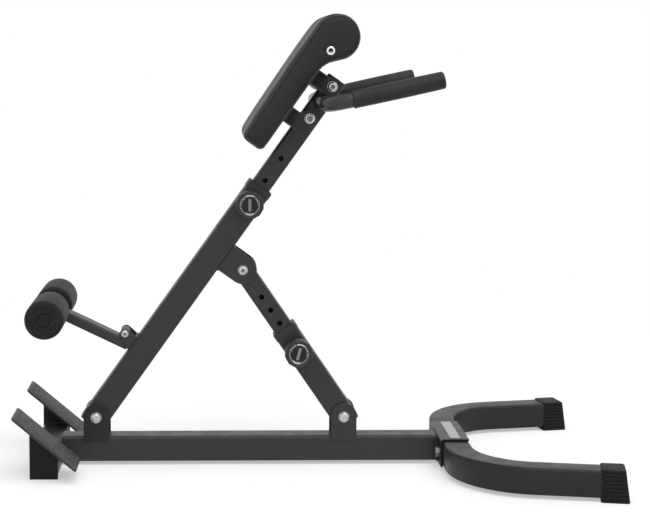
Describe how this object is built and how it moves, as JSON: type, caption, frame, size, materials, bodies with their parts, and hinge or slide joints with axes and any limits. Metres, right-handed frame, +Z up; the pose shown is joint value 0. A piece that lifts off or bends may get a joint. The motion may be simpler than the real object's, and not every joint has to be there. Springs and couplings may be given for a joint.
{
  "type": "hyperextension bench",
  "caption": "Hyperextension bench with split thigh pads on a sliding post, a tilting arm on a telescopic strut, folding ankle rollers, footplates, hand grips and a floor frame.",
  "frame": {"origin": "on the floor, under the middle of the bench's box", "axes": "+X forward, from the footplates toward the front U; +Y to the bench's left; +Z up. The pull knobs are on the right side, -Y"},
  "size_m": [1.1429, 0.6278, 0.8892],
  "materials": {
    "powder_coat": "satin",
    "steel": "satin",
    "chrome": "polished",
    "rubber": "matte",
    "plastic": "satin",
    "foam": "matte",
    "leatherette": "satin",
    "plywood": "matte",
    "tread": "matte"
  },
  "bodies": {
    "base": {"base_beam": "powder_coat", "rear_crossbar": "powder_coat", "rear_end_plate_right": "powder_coat", "rear_end_plate_left": "powder_coat", "footplate_right": "tread", "footplate_left": "tread", "front_bracket": "powder_coat", "front_u_tube": "powder_coat", "end_cap_right": "rubber", "end_cap_left": "rubber", "front_bolt_right": "steel", "front_bolt_left": "steel", "front_nut_right": "steel", "front_nut_left": "steel", "main_pivot_ear_right": "powder_coat", "main_pivot_ear_left": "powder_coat", "main_pivot_bolt": "steel", "main_pivot_nut": "steel", "strut_ear_right": "powder_coat", "strut_ear_left": "powder_coat", "strut_lower_bolt": "steel", "strut_lower_nut": "steel"},
    "main_arm": {"main_tube": "powder_coat", "main_collar": "plastic", "post_pin_barrel": "powder_coat", "strut_top_bracket": "powder_coat", "strut_upper_bolt": "steel", "strut_upper_nut": "steel", "roller_bracket": "powder_coat", "roller_pivot_bolt": "steel", "roller_pivot_nut": "steel"},
    "post": {"post_tube": "powder_coat", "post_cap": "plastic", "upper_pad_bracket": "powder_coat", "lower_pad_bracket": "powder_coat", "upper_pad_bracket_fixing_bolt": "steel", "upper_pad_bracket_fixing_nut": "steel", "lower_pad_bracket_fixing_bolt": "steel", "lower_pad_bracket_fixing_nut": "steel", "thigh_pad_right": "leatherette", "thigh_pad_left": "leatherette", "pad_board_right": "plywood", "pad_board_left": "plywood", "pad_eyelet_right": "chrome", "pad_eyelet_left": "chrome", "handle_frame": "powder_coat", "handle_grip_right": "rubber", "handle_grip_left": "rubber"},
    "post_pin": {"post_pin_plunger": "steel", "post_pin_knob": "plastic"},
    "strut_outer": {"strut_outer_tube": "powder_coat", "strut_collar": "plastic", "strut_pin_barrel": "powder_coat"},
    "strut_inner": {"strut_inner_tube": "powder_coat"},
    "strut_pin": {"strut_pin_plunger": "steel", "strut_pin_knob": "plastic"},
    "roller_arm": {"roller_arm": "powder_coat", "roller_axle": "powder_coat"},
    "roller_right": {"foam_roller_right": "foam"},
    "roller_left": {"foam_roller_left": "foam"}
  },
  "joints": [
    {"name": "incline", "type": "hinge", "parent": "base", "child": "main_arm", "pos_m": [-0.4221, 0, 0.0964], "axis": [0, 1, 0], "range_deg": [-4.5, 13.3]},
    {"name": "strut_swing", "type": "hinge", "parent": "base", "child": "strut_outer", "pos_m": [0.0675, 0, 0.0964], "axis": [0, 1, 0], "range_deg": [-0.9, 2.2]},
    {"name": "strut_slide", "type": "slide", "parent": "strut_outer", "child": "strut_inner", "axis": [-0.5629, 0, 0.8265], "range_m": [-0.0955, 0.0328]},
    {"name": "post_slide", "type": "slide", "parent": "main_arm", "child": "post", "axis": [0.5814, 0, 0.8136], "range_m": [-0.107, 0.107]},
    {"name": "post_pin_pull", "type": "slide", "parent": "main_arm", "child": "post_pin", "axis": [0, -1, 0], "range_m": [0, 0.012], "stiffness_N_per_m": 600, "springref_m": -0.012},
    {"name": "strut_pin_pull", "type": "slide", "parent": "strut_outer", "child": "strut_pin", "axis": [0, -1, 0], "range_m": [0, 0.012], "stiffness_N_per_m": 600, "springref_m": -0.012},
    {"name": "roller_arm_fold", "type": "hinge", "parent": "main_arm", "child": "roller_arm", "pos_m": [-0.36421, 0, 0.26324], "axis": [0, 1, 0], "range_deg": [0, 95]},
    {"name": "roller_right_spin", "type": "hinge", "parent": "roller_arm", "child": "roller_right", "pos_m": [-0.50998, -0.0925, 0.31173], "axis": [0, 1, 0], "continuous": true},
    {"name": "roller_left_spin", "type": "hinge", "parent": "roller_arm", "child": "roller_left", "pos_m": [-0.50998, 0.0925, 0.31173], "axis": [0, 1, 0], "continuous": true}
  ],
  "couplings": [
    {"joint": "strut_swing", "follows": "incline", "ratio": 0.1514},
    {"joint": "strut_slide", "follows": "incline", "m_per_rad": -0.4085}
  ]
}
